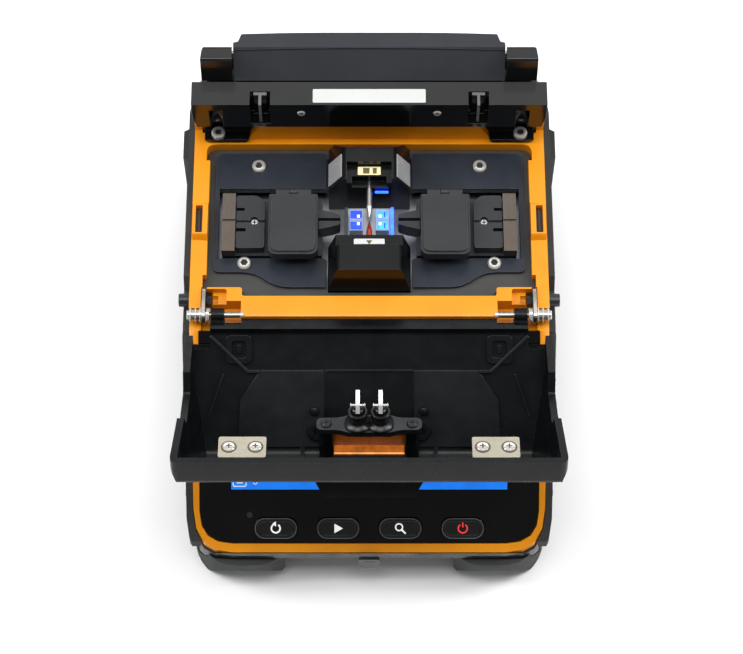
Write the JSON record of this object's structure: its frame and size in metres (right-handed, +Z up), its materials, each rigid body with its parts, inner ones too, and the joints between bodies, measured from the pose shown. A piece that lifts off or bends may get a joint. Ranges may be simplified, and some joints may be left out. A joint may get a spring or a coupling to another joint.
{
  "type": "fiber fusion splicer",
  "caption": "Sloped-front fiber fusion splicer with its wind cover open over the splicing deck, a heat-shrink oven along the back and a display panel in front.",
  "frame": {"origin": "centre of the bounding box's bottom face with the wind cover open, on the surface that the splicer stands on", "axes": "+Z up, +X to the right of a user facing the display, +Y away from that user"},
  "size_m": [0.154, 0.192, 0.1209],
  "materials": {
    "black_shell": "fine-textured black moulded plastic",
    "orange_shell": "satin orange moulded plastic",
    "rubber": "matt charcoal elastomer",
    "gloss_panel": "polished black acrylic",
    "screen": "lit display behind glass",
    "circuit_board": "green solder mask",
    "button_cap": "polished black caps with printed symbols",
    "battery_case": "fine-textured black moulded plastic",
    "steel": "brushed stainless steel",
    "dark_steel": "black oxide steel",
    "aluminium": "machined aluminium",
    "deck_grey": "satin dark grey moulded plastic",
    "plate_paint": "satin blue-grey paint",
    "stage_grey": "satin dark grey moulded plastic",
    "arc_black": "semi-gloss black moulded plastic",
    "ceramic": "white zirconia ceramic",
    "lid_grey": "satin dark grey moulded plastic",
    "cover_black": "satin black moulded plastic",
    "amber_window": "amber tinted polycarbonate"
  },
  "bodies": {
    "body": {"base_tray": "black_shell", "main_housing": "orange_shell", "side_guard_left": "rubber", "side_guard_right": "rubber", "front_bumper_left": "rubber", "front_bumper_right": "rubber", "rear_foot_left": "rubber", "rear_foot_right": "rubber", "front_panel": "gloss_panel", "lcd_module": "screen", "keypad_board": "circuit_board", "main_board": "circuit_board", "high_voltage_module": "black_shell", "power_jack": "black_shell", "usb_port": "steel", "splice_chassis": "aluminium", "camera_module": "black_shell", "stage_motor_left": "aluminium", "stage_motor_right": "aluminium", "deck_plate": "deck_grey", "cover_plate_left": "plate_paint", "cover_plate_right": "plate_paint", "deck_screw_front_left": "steel", "deck_screw_front_right": "steel", "deck_screw_rear_left": "steel", "deck_screw_rear_right": "steel", "arc_block_rear": "arc_black", "arc_block_front": "arc_black", "v_groove_left": "ceramic", "v_groove_right": "ceramic", "electrode_rear": "steel", "electrode_front": "steel", "heater_housing": "black_shell", "heater_tray": "aluminium", "heater_hinge_pin": "steel", "hinge_bracket_left": "steel", "hinge_bracket_right": "steel", "hinge_bolt_left": "dark_steel", "hinge_bolt_right": "dark_steel"},
    "wind_cover": {"wind_cover": "cover_black", "viewing_window": "amber_window", "catch_plate_left": "steel", "catch_plate_right": "steel", "presser_bracket": "dark_steel"},
    "presser_left": {"fiber_presser_left": "ceramic"},
    "presser_right": {"fiber_presser_right": "ceramic"},
    "stage_left": {"stage_left": "stage_grey", "fiber_guide_left": "steel"},
    "stage_right": {"stage_right": "stage_grey", "fiber_guide_right": "steel"},
    "sheath_clamp_left": {"sheath_clamp_left": "stage_grey"},
    "sheath_clamp_right": {"sheath_clamp_right": "stage_grey"},
    "heater_lid": {"heater_lid": "lid_grey"},
    "heater_clamp_left": {"heater_clamp_left": "black_shell"},
    "heater_clamp_right": {"heater_clamp_right": "black_shell"},
    "reset_button": {"reset_button": "button_cap"},
    "start_button": {"start_button": "button_cap"},
    "zoom_button": {"zoom_button": "button_cap"},
    "power_button": {"power_button": "button_cap"},
    "battery_pack": {"battery_pack": "battery_case"}
  },
  "joints": [
    {"name": "wind_cover_hinge", "type": "hinge", "parent": "body", "child": "wind_cover", "pos_m": [0, -0.012, 0.078], "axis": [-1, 0, 0], "range_deg": [0, 161]},
    {"name": "presser_left_travel", "type": "slide", "parent": "wind_cover", "child": "presser_left", "axis": [0, -0.3584, -0.9336], "range_m": [0, 0.0015], "stiffness_N_per_m": 200, "springref_m": -0.0012},
    {"name": "presser_right_travel", "type": "slide", "parent": "wind_cover", "child": "presser_right", "axis": [0, -0.3584, -0.9336], "range_m": [0, 0.0015], "stiffness_N_per_m": 200, "springref_m": -0.0012},
    {"name": "stage_left_feed", "type": "slide", "parent": "body", "child": "stage_left", "axis": [1, 0, 0], "range_m": [-0.0015, 0.0015]},
    {"name": "stage_right_feed", "type": "slide", "parent": "body", "child": "stage_right", "axis": [1, 0, 0], "range_m": [-0.0015, 0.0015]},
    {"name": "sheath_clamp_left_hinge", "type": "hinge", "parent": "stage_left", "child": "sheath_clamp_left", "pos_m": [-0.0304, 0.0406, 0.083], "axis": [1, 0, 0], "range_deg": [-95, 0]},
    {"name": "sheath_clamp_right_hinge", "type": "hinge", "parent": "stage_right", "child": "sheath_clamp_right", "pos_m": [0.0304, 0.0406, 0.083], "axis": [1, 0, 0], "range_deg": [-95, 0]},
    {"name": "heater_lid_hinge", "type": "hinge", "parent": "body", "child": "heater_lid", "pos_m": [0, 0.0902, 0.1084], "axis": [1, 0, 0], "range_deg": [-100, 0]},
    {"name": "heater_clamp_left_hinge", "type": "hinge", "parent": "body", "child": "heater_clamp_left", "pos_m": [-0.058, 0.0902, 0.1084], "axis": [1, 0, 0], "range_deg": [-90, 0]},
    {"name": "heater_clamp_right_hinge", "type": "hinge", "parent": "body", "child": "heater_clamp_right", "pos_m": [0.058, 0.0902, 0.1084], "axis": [1, 0, 0], "range_deg": [-90, 0]},
    {"name": "reset_button_travel", "type": "slide", "parent": "body", "child": "reset_button", "axis": [0, 0.5299, -0.848], "range_m": [0, 0.001], "stiffness_N_per_m": 400, "springref_m": -0.0006},
    {"name": "start_button_travel", "type": "slide", "parent": "body", "child": "start_button", "axis": [0, 0.5299, -0.848], "range_m": [0, 0.001], "stiffness_N_per_m": 400, "springref_m": -0.0006},
    {"name": "zoom_button_travel", "type": "slide", "parent": "body", "child": "zoom_button", "axis": [0, 0.5299, -0.848], "range_m": [0, 0.001], "stiffness_N_per_m": 400, "springref_m": -0.0006},
    {"name": "power_button_travel", "type": "slide", "parent": "body", "child": "power_button", "axis": [0, 0.5299, -0.848], "range_m": [0, 0.001], "stiffness_N_per_m": 400, "springref_m": -0.0006},
    {"name": "battery_slide", "type": "slide", "parent": "body", "child": "battery_pack", "axis": [0, 1, 0], "range_m": [0, 0.055]}
  ]
}
